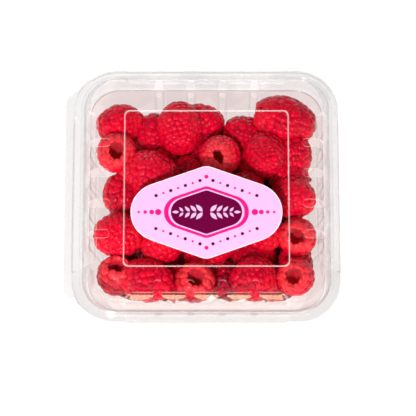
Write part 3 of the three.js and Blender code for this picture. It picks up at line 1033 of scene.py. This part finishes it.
@dataclass
class Label:
    """The lozenge label: white stock with an ink field, and a plain printed ornament."""

    width: float = 70.4
    slope: float = 20.0
    end_radius: float = 14.5
    tip_radius: float = 6.4
    offset: float = -12.1
    low_z: float = 45.75
    thickness: float = 0.25
    white_edge: float = 0.3
    arc_steps: int = 18  # spans in each of its four arcs

    def outline(self, scale: float = 1.0) -> list[Vector]:
        """Draws the lozenge.

        Args:
            scale: Its size against the label's.

        Returns:
            Its points, anticlockwise, about the label's centre.
        """
        end_x = self.width / 2 - self.end_radius
        normal = math.radians(90 - self.slope)
        reach = end_x * math.cos(normal) + self.end_radius
        tip_y = (reach - self.tip_radius) / math.sin(normal)
        arcs = [
            (end_x, 0.0, self.end_radius, -normal, normal),
            (0.0, tip_y, self.tip_radius, normal, math.pi - normal),
            (-end_x, 0.0, self.end_radius, math.pi - normal, math.pi + normal),
            (0.0, -tip_y, self.tip_radius, math.pi + normal, 2 * math.pi - normal),
        ]
        points = []
        for x, y, radius, start, end in arcs:
            for k in range(self.arc_steps + 1):
                angle = start + (end - start) * k / self.arc_steps
                points.append(Vector((x + radius * math.cos(angle), y + radius * math.sin(angle))) * scale)
        return points

    def flat_shape(self, bm: BMesh, points: Sequence[Vector], z: float, ink: int) -> None:
        """Lays one flat printed shape on the label.

        Args:
            bm: The mesh that gets it.
            points: Its outline about the label's centre.
            z: Its height.
            ink: Number of its material.
        """
        verts = bmesh.ops.create_circle(bm, cap_ends=True, segments=len(points), radius=1.0)["verts"]
        for vert, point in zip(verts, points):
            vert.co = (point.x, point.y + self.offset, z)
        face = next(f for f in verts[0].link_faces if len(f.verts) == len(points))
        face.normal_update()
        if face.normal.z < 0:
            bmesh.ops.reverse_faces(bm, faces=[face])
        face.material_index = ink

    def leaf(self, length: float, width: float, turn: float, at: tuple[float, float]) -> list[Vector]:
        """Outline of a pointed leaf.

        Args:
            length: From stalk to point.
            width: Across its middle.
            turn: Way that it points, in degrees.
            at: Where its stalk is.

        Returns:
            Its points.
        """
        steps = 9
        shares = [k / steps for k in range(steps + 1)]
        upper = [(length * k, width / 2 * math.sin(math.pi * k**0.85)) for k in shares]
        ring = upper + [(x, -y) for x, y in reversed(upper[1:-1])]
        spin = Matrix.Rotation(math.radians(turn), 2)
        return [spin @ Vector(p) + Vector(at) for p in ring]

    def dot(self, radius: float, at: tuple[float, float]) -> list[Vector]:
        """Outline of a round dot."""
        angles = (k / 20 * 2 * math.pi for k in range(20))
        return [Vector(at) + radius * Vector((math.cos(a), math.sin(a))) for a in angles]

    def build(self, finishes: Sequence[Material]) -> None:
        """Builds the label and its print.

        Args:
            finishes: White stock, ink field, dark ink and bright ink.
        """
        bm = bmesh.new()
        points = self.outline()
        self.flat_shape(bm, points, self.low_z, 0)
        face = next(iter(bm.faces))
        top = bmesh.ops.extrude_face_region(bm, geom=[face])["geom"]
        lifted = [g for g in top if isinstance(g, BMVert)]
        bmesh.ops.translate(bm, verts=lifted, vec=(0.0, 0.0, self.thickness))
        bmesh.ops.recalc_face_normals(bm, faces=bm.faces)
        upper = max((f for f in bm.faces if len(f.verts) > 20), key=lambda f: f.calc_center_median().z)
        bmesh.ops.inset_region(bm, faces=[upper], thickness=self.white_edge, use_even_offset=True)
        upper.material_index = 1
        make_piece(bm, "label_stock", finishes, Body.COVER, "label", 30.0)

        bm = bmesh.new()
        z = self.low_z + self.thickness + 0.02
        self.flat_shape(bm, self.outline(0.56), z, 3)
        self.flat_shape(bm, self.outline(0.5), z + 0.02, 1)
        self.flat_shape(bm, self.outline(0.47), z + 0.04, 2)
        for side in (-1, 1):
            for k in range(4):
                x = side * (1.8 + 3.0 * k)
                size = 4.6 - 0.6 * k
                for up in (-1, 1):
                    turn = up * 48.0 if side > 0 else 180.0 - up * 48.0
                    self.flat_shape(bm, self.leaf(size, size * 0.42, turn, (x, up * 0.25)), z + 0.06, 1)
            tip = self.leaf(3.2, 1.4, 0.0 if side > 0 else 180.0, (side * 12.8, 0.0))
            self.flat_shape(bm, tip, z + 0.06, 1)
            for k, radius in enumerate((1.5, 1.15, 0.85, 0.6)):
                self.flat_shape(bm, self.dot(radius, (side * (22.4 + 3.0 * k), 0.0)), z, 3)
            for up in (-1, 1):
                for k in range(7):
                    x = side * (3.0 + 3.4 * k)
                    y = up * (16.6 - abs(x) * math.tan(math.radians(self.slope)))
                    self.flat_shape(bm, self.dot(0.55 if k % 2 else 0.8, (x, y)), z, 2 + k % 2)
        for up in (-1, 1):
            self.flat_shape(bm, self.dot(0.95, (0.0, up * 17.4)), z, 3)
        make_piece(bm, "label_print", finishes, Body.COVER, "label", 30.0)


# ---- Berries ----


@dataclass(frozen=True)
class Berry:
    """One raspberry: its centre, its size, the way its tip points in plan, and how far it is raised."""

    x: float
    y: float
    z: float
    wide: float
    long: float
    turn: float
    tip: float
    ripeness_and_shade: float
    grain: float = 1.0  # size of its beads against the others'
    pinch: float = 1.0  # how much of its opening's width is left, for one that is squeezed
    pinch_turn: float = 0.0  # way of the squeeze about its axis, in degrees

    def place(self) -> Matrix:
        """Puts a berry that stands on its open end, tip up, in its place in the heap."""
        lean = Matrix.Rotation(math.radians(90 - self.tip), 4, "Y")
        heading = Matrix.Rotation(math.radians(self.turn), 4, "Z")
        return Matrix.Translation((self.x, self.y, self.z)) @ heading @ lean


TOP_BERRIES = (
    Berry(-41.6, 38.2, 27.6, 19.4, 22.2, 195, 10, 0.55),
    Berry(-42.4, 22.9, 29.8, 19.6, 18.5, 90, -80, 0.85),
    Berry(-25.5, 35.2, 23.5, 19, 20, 60, 30, 0.4),
    Berry(-12.6, 35.2, 29.0, 22.2, 25.6, -87, 8, 0.55, 0.84),
    Berry(-2.1, 40.7, 23.8, 18.2, 22.5, -12, 12, 0.5),
    Berry(17.5, 34.7, 23.5, 18.6, 20.5, 165, 22, 0.35),
    Berry(37.6, 39.7, 28.9, 23.2, 30.2, -15, -5, 0.42, 1.1),
    Berry(28.1, 22.2, 29.2, 21, 25, -82, 36, 0.5, 0.9),
    Berry(6.6, 22.0, 28.8, 20, 20.5, 70, -67, 0.65, 0.84, 0.5, 43),
    Berry(-26.0, 12.3, 28.4, 23.4, 29.6, -17, 4, 0.6),
    Berry(40.9, 23.1, 25.5, 19, 21.5, 75, 22, 0.45),
    Berry(41.2, 0.8, 29.0, 20.6, 22.0, -30, 34, 0.65),
    Berry(42.5, -18.5, 28.8, 18.8, 18.5, 74, -73, 0.7),
    Berry(41.6, -37.9, 28.4, 18.4, 18.5, 64, -72, 0.45),
    Berry(21.8, -39.2, 28.4, 21.8, 22.0, 200, 14, 0.33),
    Berry(-5.4, -40.8, 27.6, 20, 18.5, -90, -88, 0.25),
    Berry(-27.2, -40.0, 28.8, 21.0, 26.0, -14, 3, 0.4),
    Berry(-42.3, -37.2, 25.8, 18.6, 19, -100, -72, 0.2),
    Berry(-41.9, -17.7, 28.8, 22, 23, 184, 4, 0.7, 0.92),
    Berry(-40.1, 4.0, 25.0, 18.6, 20.5, 100, 22, 0.4),
    Berry(-19.9, -20.7, 28.0, 20, 22, 30, 18, 0.6),
    Berry(25.5, -14.4, 27.8, 20, 22, 140, 14, 0.6),
    Berry(-3.0, -1.4, 28.0, 21.5, 23.5, 80, 25, 0.5),
    Berry(17.4, 4.6, 26.0, 20.5, 22, 20, 28, 0.4),
    Berry(4.4, -20.2, 26.4, 20, 22, -120, 20, 0.5),
    Berry(-9.0, 15.0, 22.5, 18.5, 20, 40, 20, 0.35),
)


# Set where the top layer would leave a gap to the floor.
GAP_BERRIES = (
    Berry(-16.8, -37.2, 19.5, 18, 18, 75, 20, 0.25),
    Berry(7.4, -36.6, 18.5, 18, 18, -80, 10, 0.1),
    Berry(30.8, -37.4, 19.5, 18, 18, 95, -15, 0.25),
    Berry(38.6, 12.4, 24.0, 18, 20, 160, 15, 0.45),
    Berry(41.6, -28.6, 21.0, 17.5, 20, 80, 10, 0.3),
    Berry(-1.0, 29.8, 20.5, 17.5, 19, 60, 15, 0.25),
)


def seeded(seed: int) -> Callable[[], float]:
    """Makes a repeatable source of numbers from 0 to 1.

    Args:
        seed: Where it starts.

    Returns:
        A function that gives the next number.
    """
    state = seed

    def draw() -> float:
        """Gives the next number."""
        nonlocal state
        state = (state * 1664525 + 1013904223) % 2**32
        return state / 2**32

    return draw


@dataclass(frozen=True)
class BerryForm:
    """Lines that a berry is turned from: distances as shares of half its width, heights of its length."""

    flesh: tuple[tuple[float, float], ...]
    lip: tuple[tuple[float, float], ...]
    hollow: tuple[tuple[float, float], ...]
    inner_lip: tuple[float, float]


UPTURNED = BerryForm(
    flesh=((0, 0.5), (0.52, 0.43), (0.86, 0.22), (1, -0.04), (0.92, -0.27), (0.7, -0.43)),
    lip=((0.55, -0.48), (0.45, -0.46), (0.42, -0.4)),
    hollow=((0.43, -0.4), (0.37, -0.25), (0.26, -0.08), (0.12, 0.0), (0, 0.02)),
    inner_lip=(0.5, -0.44),
)
LYING = BerryForm(
    flesh=((0, 0.5), (0.52, 0.43), (0.86, 0.22), (1, -0.02), (0.92, -0.23), (0.72, -0.39)),
    lip=((0.5, -0.48), (0.36, -0.5), (0.3, -0.44)),
    hollow=((0.3, -0.44), (0.27, -0.3), (0.2, -0.12), (0.1, -0.02), (0, 0)),
    inner_lip=(0.36, -0.46),
)


@dataclass
class Heap:
    """The raspberries in the tray: a top layer, a bottom layer and a dark core between them, whose darkness
    is painted shade.
    """

    pitch: float = 3.5  # from bead to bead
    row_share: float = 0.84
    bead_sides: int = 8
    bead_height: float = 1.45
    beside: float = 1.3  # width of a bead against its share of the row, so that it presses its neighbours
    above: float = 1.42  # the same for its length against the row's
    widest: float = 2.25  # half a bead's greatest width
    uneven: float = 0.3  # how much the beads' sizes vary
    tone_spread: float = 0.34  # how much their ripeness varies
    cleft: float = 0.6  # how far the skin between the beads lies below their crests
    cleft_painted_shade: float = 0.22  # painted shade: how much darker it is than its berry
    darkest_skin: float = 0.25
    shade: float = 0.6  # painted shade: how much ripeness is taken off deep in the heap
    low_rows: int = 4
    low_pitch: tuple = (22.8, 21.4)
    low_shift: float = -1.7
    low_z: float = 11.6
    middle_z: float = 19.0
    ceiling: float = 40.0
    clearance: float = 0.5
    floor_z: float = 1.3
    floor_half: float = 44.1  # half the room on the floor, inside its rounded edge
    wall_from: float = 5.0
    wall_to: float = 28.3
    throat_half: float = 53.7  # half the room at the foot of the throat, above the shoulder
    throat_flare: float = 1.12
    core_size: tuple = (62.0, 66.0, 12.0)
    core_z: float = 10.0
    core_round: float = 3.0
    tray: TrayShell = field(default_factory=TrayShell)

    def space(self, z: float) -> tuple[float, float]:
        """Half the room between the tray's walls at a height, and its corner radius."""
        if z < self.wall_from:
            up = max(0.0, z - self.floor_z) / (self.wall_from - self.floor_z)
            half = self.floor_half + (self.wall_room(self.wall_from) - self.floor_half) * up
        elif z < self.wall_to:
            half = self.wall_room(z)
        else:
            half = self.throat_half + self.throat_flare * smooth_step(self.wall_to, 30.3, z)
        return half, 11.0 + 1.5 * smooth_step(self.wall_from, 30, z)

    def wall_room(self, z: float) -> float:
        """Half the room between the tray's straight walls at a height."""
        return self.tray.wall(z) - SOLID_WALL - self.clearance

    def press(self, verts: Sequence[BMVert]) -> None:
        """Flattens what would go through the tray's walls, its floor or the ceiling.

        Args:
            verts: Vertices of a berry in its place.
        """
        for vert in verts:
            z = min(max(vert.co.z, self.floor_z), self.ceiling)
            half, radius = self.space(z)
            centre = half - radius
            x, y = abs(vert.co.x), abs(vert.co.y)
            if x > centre and y > centre:
                far = math.hypot(x - centre, y - centre)
                if far > radius:
                    x = centre + (x - centre) * radius / far
                    y = centre + (y - centre) * radius / far
            x, y = min(x, half), min(y, half)
            vert.co = (math.copysign(x, vert.co.x), math.copysign(y, vert.co.y), z)

    def form(self, berry: Berry) -> BerryForm:
        """Picks the lines that a berry is turned from."""
        return UPTURNED if berry.tip < -60 else LYING

    def bead_form(self) -> Mesh:
        """Makes the round form of one bead, open below, of radius 1."""
        bm = bmesh.new()
        verts = bmesh.ops.create_uvsphere(bm, u_segments=self.bead_sides, v_segments=6, radius=1.0)["verts"]
        bmesh.ops.delete(bm, geom=[v for v in verts if v.co.z < -0.1], context="VERTS")
        form = bpy.data.meshes.new("bead")
        bm.to_mesh(form)
        bm.free()
        return form

    def beads(self, bm: BMesh, berry: Berry, draw: Callable[[], float], bead_form: Mesh) -> None:
        """Sets the berry's beads on it, row by row from its tip over its lip.

        Args:
            bm: The berry's mesh, standing on its open end.
            berry: The berry.
            draw: Source of its small irregularities.
            bead_form: The form that each bead is a copy of.
        """
        scale = Vector((berry.wide / 2, berry.long))
        form = self.form(berry)
        line = [p * scale for p in smooth_curve((*form.flesh, *form.lip), 8)]
        line = [Vector((max(0.0, p.x), p.y)) for p in line]
        lengths = [0.0]
        for a, b in zip(line, line[1:]):
            lengths.append(lengths[-1] + (b - a).length)
        lip_starts = lengths[8 * (len(form.flesh) - 2) + 3]
        ripeness_and_shade, rim = bm.verts.layers.float["ripeness_and_shade"], bm.verts.layers.float["rim"]
        pitch = self.pitch * berry.grain
        step = pitch * self.row_share
        rows = max(4, round(lengths[-1] / step))
        for row in range(rows + 1):
            arc = lengths[-1] * row / rows
            k = next((i for i in range(1, len(line)) if lengths[i] >= arc), len(line) - 1)
            share = (arc - lengths[k - 1]) / max(1e-6, lengths[k] - lengths[k - 1])
            spot = line[k - 1].lerp(line[k], share)
            along = (line[min(k + 1, len(line) - 1)] - line[max(k - 2, 0)]).normalized()
            out = Vector((-along.y, along.x)) if row else Vector((0.0, 1.0))
            if out.x < 0 and spot.y > -0.3 * berry.long:
                out.negate()
            if row and along.y > 0 and spot.y < -0.3 * berry.long:
                out = Vector((-along.y, along.x))
            on_lip = smooth_step(lip_starts - step, lip_starts + step, arc)
            around = max(1, round(2 * math.pi * spot.x / pitch)) if row else 1
            first = draw() * 2 * math.pi
            for bead in range(around):
                angle = first + 2 * math.pi * (bead + 0.4 * (draw() - 0.5)) / around
                room = max(1.0, math.pi * max(spot.x, 0.6) / around)
                wide = room * self.beside if around > 1 else step * 0.62
                wide *= 1 + self.uneven * (draw() - 0.5)
                tall = step * 0.5 * self.above * (1 + self.uneven * (draw() - 0.5))
                height = self.bead_height * (1 - 0.25 * on_lip) * (1 + self.uneven * (draw() - 0.5))
                normal = Vector((out.x * math.cos(angle), out.x * math.sin(angle), out.y))
                if row == 0:
                    normal = Vector((0.0, 0.0, 1.0))
                tangent = Vector((-math.sin(angle), math.cos(angle), 0.0))
                up = normal.cross(tangent)
                axes = Matrix((tangent * min(wide, self.widest), up * tall, normal * height))
                slide = along * (step * 0.55 * (draw() - 0.5)) if row else Vector((0.0, 0.0))
                at = spot + slide
                crest = Vector((at.x * math.cos(angle), at.x * math.sin(angle), at.y))
                centre = crest - normal * height * (0.96 + 0.12 * draw())
                place = Matrix.Translation(centre) @ axes.transposed().to_4x4()
                tone = berry.ripeness_and_shade + self.tone_spread * (draw() - 0.5)
                count = len(bm.verts)
                bm.from_mesh(bead_form)
                bm.verts.ensure_lookup_table()
                for vert in bm.verts[count:]:
                    vert.co = place @ vert.co
                    vert[ripeness_and_shade] = tone
                    vert[rim] = on_lip if berry.tip < -60 else 0.2 * on_lip

    def lathe(self, bm: BMesh, line: Sequence[Vector], inward: bool) -> None:
        """Spins a line about the berry's axis.

        Args:
            bm: The mesh that gets the turned surface.
            line: Distances from the axis and heights.
            inward: Whether it faces the axis.
        """
        before = set(bm.faces)
        verts = [bm.verts.new((p.x, 0.0, p.y)) for p in line]
        edges = [bm.edges.new(pair) for pair in zip(verts, verts[1:])]
        bmesh.ops.spin(
            bm, geom=[*verts, *edges], cent=(0, 0, 0), axis=(0, 0, 1), angle=2 * math.pi, steps=20,
            use_merge=True, use_duplicate=False,
        )
        faces = [f for f in bm.faces if f not in before]
        turned = list({v for f in faces for v in f.verts})
        bmesh.ops.remove_doubles(bm, verts=turned, dist=1e-3)
        faces = [f for f in bm.faces if f not in before]
        bmesh.ops.recalc_face_normals(bm, faces=faces)
        widest = max(faces, key=lambda f: f.calc_center_median().xy.length)
        faces_out = widest.normal.xy.dot(widest.calc_center_median().xy) > 0
        if faces_out == inward:
            bmesh.ops.reverse_faces(bm, faces=faces)
        for face in faces:
            face.material_index = int(inward)

    def grow(self, berry: Berry, draw: Callable[[], float], bead_form: Mesh) -> BMesh:
        """Makes one berry in its place.

        Args:
            berry: The berry.
            draw: Source of its small irregularities.
            bead_form: The form that each bead is a copy of.

        Returns:
            Its mesh.
        """
        bm = bmesh.new()
        bm.verts.layers.float.new("ripeness_and_shade")
        bm.verts.layers.float.new("rim")
        self.beads(bm, berry, draw, bead_form)
        beaded = len(bm.verts)
        scale = Vector((berry.wide / 2, berry.long))
        form = self.form(berry)
        skin = [p * scale for p in smooth_curve(form.flesh, 3)]
        narrower, shorter = 1 - self.cleft / scale.x, 1 - 1.6 * self.cleft / scale.y
        sunk = [Vector((max(0.0, p.x * narrower), p.y * shorter)) for p in skin]
        sunk[0].x = 0.0
        lip = Vector(form.inner_lip) * scale
        self.lathe(bm, [*sunk, lip], False)
        hollow = [p * scale for p in smooth_curve(form.hollow, 3)]
        hollow[-1].x = 0.0
        self.lathe(bm, [lip, *hollow], True)
        squeeze = Matrix.Rotation(math.radians(berry.pinch_turn), 3, "Z") @ Vector((1.0, 0.0, 0.0))
        for vert in bm.verts if berry.pinch < 1 else ():
            near = smooth_step(-0.95 * scale.x, -0.3 * scale.x, -vert.co.xy.length)
            share = near * smooth_step(0.1 * scale.y, 0.4 * scale.y, -vert.co.z)
            vert.co -= squeeze * (vert.co.dot(squeeze) * (1 - berry.pinch) * share)
        bmesh.ops.transform(bm, matrix=berry.place(), verts=bm.verts)
        self.press(bm.verts)
        ripeness_and_shade = bm.verts.layers.float["ripeness_and_shade"]
        bm.verts.ensure_lookup_table()
        # Painted shade in the clefts: the skin between the beads is darker than its berry.
        for vert in bm.verts[beaded:]:
            vert[ripeness_and_shade] = max(self.darkest_skin, berry.ripeness_and_shade - self.cleft_painted_shade)
        # Painted shade: darker low in the heap and away from the walls.
        for vert in bm.verts:
            from_wall = self.space(vert.co.z)[0] - max(abs(vert.co.x), abs(vert.co.y))
            deep = (1 - smooth_step(10.0, 26.0, vert.co.z)) * smooth_step(1.0, 11.0, from_wall)
            vert[ripeness_and_shade] -= self.shade * deep
        return bm

    def low_berries(self) -> list[Berry]:
        """Lists the berries below: a loose square of them, and a smaller square in its hollows."""
        draw = seeded(3)
        berries = []
        for rows, level in ((self.low_rows, self.low_z), (self.low_rows - 1, self.middle_z)):
            for number in range(rows * rows):
                column, row = number % rows - (rows - 1) / 2, number // rows - (rows - 1) / 2
                berries.append(
                    Berry(
                        x=column * self.low_pitch[0] + 1.6 * (draw() - 0.5),
                        y=row * self.low_pitch[1] + self.low_shift + 1.6 * (draw() - 0.5),
                        z=level + draw(),
                        wide=20 + 2 * draw(),
                        long=20.5 + 2.5 * draw(),
                        turn=360 * draw(),
                        tip=50 * (draw() - 0.5),
                        ripeness_and_shade=0.15 + 0.06 * (number * 5 % 7),
                        grain=1.08,
                    )
                )
        return [*berries, *GAP_BERRIES]

    def layer(self, name: str, berries: Sequence[Berry], finishes: Sequence[Material]) -> None:
        """Builds one layer of berries as a piece.

        Args:
            name: The piece's name.
            berries: Its berries.
            finishes: Flesh and hollow.
        """
        whole = bmesh.new()
        bead_form = self.bead_form()
        for number, berry in enumerate(berries):
            bm = self.grow(berry, seeded(101 + 7 * number), bead_form)
            scrap = bpy.data.meshes.new("scrap")
            bm.to_mesh(scrap)
            bm.free()
            whole.from_mesh(scrap)
            bpy.data.meshes.remove(scrap)
        bpy.data.meshes.remove(bead_form)
        make_piece(whole, name, finishes, Body.BASE, "berries", 80.0)

    def core(self, finish: Material) -> None:
        """Builds the dark core that closes the heap's gaps: a box of painted shade, since it carries no
        ripeness and takes the flesh's darkest stop.

        Args:
            finish: Its material.
        """
        bm = bmesh.new()
        bmesh.ops.create_cube(bm, size=1.0, matrix=Matrix.Diagonal((*self.core_size, 1.0)))
        bmesh.ops.bevel(
            bm, geom=list(bm.edges), offset=self.core_round, segments=3, profile=0.5, affect="EDGES",
            material=-1,
        )
        bmesh.ops.translate(bm, verts=bm.verts, vec=(0.0, self.low_shift, self.core_z))
        make_piece(bm, "berry_core_painted_shade", [finish], Body.BASE, "berries", 80.0)

    def build(self, flesh: Material, hollow: Material) -> None:
        """Builds the heap.

        Args:
            flesh: The berries' skin.
            hollow: Their insides.
        """
        open_ones = [b for b in TOP_BERRIES if b.tip < -60]
        whole_ones = [b for b in TOP_BERRIES if b.tip >= -60]
        self.layer("berries_lying", whole_ones, [flesh, hollow])
        self.layer("berries_upturned", open_ones, [flesh, hollow])
        self.layer("berries_below", self.low_berries(), [flesh, hollow])
        self.core(flesh)


# ---- Studio ----


@dataclass(frozen=True)
class Softbox:
    """One soft studio lamp, aimed at the pack."""

    name: str
    azimuth: float  # 0 stands at the front, 90 at the right
    elevation: float
    distance: float
    width: float
    height: float
    radiance: float
    colour: str = "ffffff"
    mirrored: bool = True  # whether glossy faces show it

    def build(self) -> None:
        """Adds the lamp."""
        lamp = bpy.data.lights.new(self.name, "AREA")
        lamp.shape = "RECTANGLE"
        lamp.size, lamp.size_y = self.width, self.height
        lamp.energy = self.radiance * math.pi * self.width * self.height
        lamp.color = linear(self.colour)[:3]
        holder = bpy.data.objects.new(self.name, lamp)
        a, e = math.radians(self.azimuth), math.radians(self.elevation)
        back = Vector((math.sin(a) * math.cos(e), -math.cos(a) * math.cos(e), math.sin(e)))
        holder.location = Vector((0.0, 0.0, 0.03)) + back * self.distance
        holder.rotation_mode = "QUATERNION"
        holder.rotation_quaternion = (-back).to_track_quat("-Z", "Y")
        holder.visible_glossy = self.mirrored
        bpy.context.scene.collection.objects.link(holder)


@dataclass
class Studio:
    """The camera, lamps, backdrop glow and floor."""

    elevation: float = 71.0
    lens: float = 250.0
    sensor: float = 36.0
    field: float = 0.19439  # width that the picture takes in at the flange
    aim: tuple = (0.002826, -0.00667, 0.036)
    horizon: float = 0.4
    overhead: float = 0.004

    def camera(self) -> None:
        """Adds the camera."""
        lens = bpy.data.cameras.new("camera")
        lens.lens, lens.sensor_width = self.lens, self.sensor
        lens.clip_start, lens.clip_end = 0.05, 20.0
        holder = bpy.data.objects.new("camera", lens)
        e = math.radians(self.elevation)
        back = Vector((0.0, -math.cos(e), math.sin(e)))
        distance = self.field / 2 / (self.sensor / 2 / self.lens)
        holder.location = Vector(self.aim) + back * distance
        holder.rotation_mode = "QUATERNION"
        holder.rotation_quaternion = (-back).to_track_quat("-Z", "Y")
        bpy.context.scene.collection.objects.link(holder)
        bpy.context.scene.camera = holder

    def backdrop(self) -> None:
        """Sets a glow that is pale round the horizon and dim overhead, where the lid would mirror it."""
        world = bpy.data.worlds.new("studio")
        world.use_nodes = True
        tree = world.node_tree
        tree.nodes.clear()
        way = add(tree, "TexCoord")
        height = add(tree, "SeparateXYZ", None, Vector=way.outputs["Generated"])
        ramp = add(tree, "ValToRGB", None, Fac=height.outputs["Z"])
        stops = ramp.color_ramp.elements
        stops[0].position, stops[0].color = 0.35, (self.horizon,) * 3 + (1.0,)
        stops[1].position, stops[1].color = 0.8, (self.overhead,) * 3 + (1.0,)
        glow = add(tree, "Background", {"Strength": 1.0}, Color=ramp.outputs[0])
        output = add(tree, "OutputWorld", None, Surface=glow.outputs[0])
        output.is_active_output = True
        bpy.context.scene.world = world

    def floor(self, finish: Material) -> None:
        """Adds the floor.

        Args:
            finish: Its board.
        """
        bm = bmesh.new()
        bmesh.ops.create_grid(bm, x_segments=1, y_segments=1, size=4.0)
        # It lies just clear of the tray's own underside.
        bmesh.ops.translate(bm, verts=bm.verts, vec=(0.0, 0.0, -0.05 * MM))
        mesh = bpy.data.meshes.new("floor")
        bm.to_mesh(mesh)
        bm.free()
        mesh.materials.append(finish)
        floor = bpy.data.objects.new("floor", mesh)
        bpy.context.scene.collection.objects.link(floor)

    def build(self) -> None:
        """Adds everything that isn't part of the object."""
        self.camera()
        self.backdrop()
        self.floor(StudioFloor("Pale acrylic table").build())
        for lamp in (
            Softbox("key", -62.0, 48.0, 1.1, 0.5, 0.5, 4.7, mirrored=False),
            Softbox("sparkle", -15.0, 50.0, 1.0, 0.07, 0.07, 640.0),
            Softbox("fill", 58.0, 42.0, 1.2, 0.6, 0.5, 5.0, mirrored=False),
            Softbox("front_strip", 0.0, 30.8, 0.9, 0.8, 0.12, 8.0, "ffe6b8"),
            Softbox("back_panel", 180.0, 5.0, 1.0, 1.0, 0.2, 4.0),
        ):
            lamp.build()
        view = bpy.context.scene.view_settings
        view.view_transform = "Standard"
        view.look = "None"
        cycles = bpy.context.scene.cycles
        cycles.transparent_max_bounces = 32
        cycles.glossy_bounces = 10  # light goes to and fro between the two faces of a sheet


# ---- The punnet ----


def main() -> None:
    """Builds every piece of the punnet in order, then the studio."""
    logging.basicConfig(level=logging.INFO, format="%(name)s: %(message)s")
    sheet = ClearSheet("Thermoformed clear PET sheet").build()
    edge = CutEdge("Trimmed PET edge").build()
    TrayShell().build(sheet, CutEdge("Trimmed PET edge, thinned by the draw", see_through=0.8).build())
    LidShell().build(sheet, edge)
    Label().build(
        [
            PrintedPaper("Coated label stock", "f0eef0", "eae6ea").build(),
            PrintedPaper("Light pink ink on label stock", "e2b0dc", "dfacd8").build(),
            PrintedPaper("Plum ink on label stock", "660038", "5c0032").build(),
            PrintedPaper("Magenta ink on label stock", "dc187e", "d41478").build(),
        ]
    )
    Heap().build(
        BerryFlesh("Ripe raspberry skin").build(), BerryHollow("Raspberry hollow").build()
    )
    Studio().build()


if __name__ == "__main__":
    main()
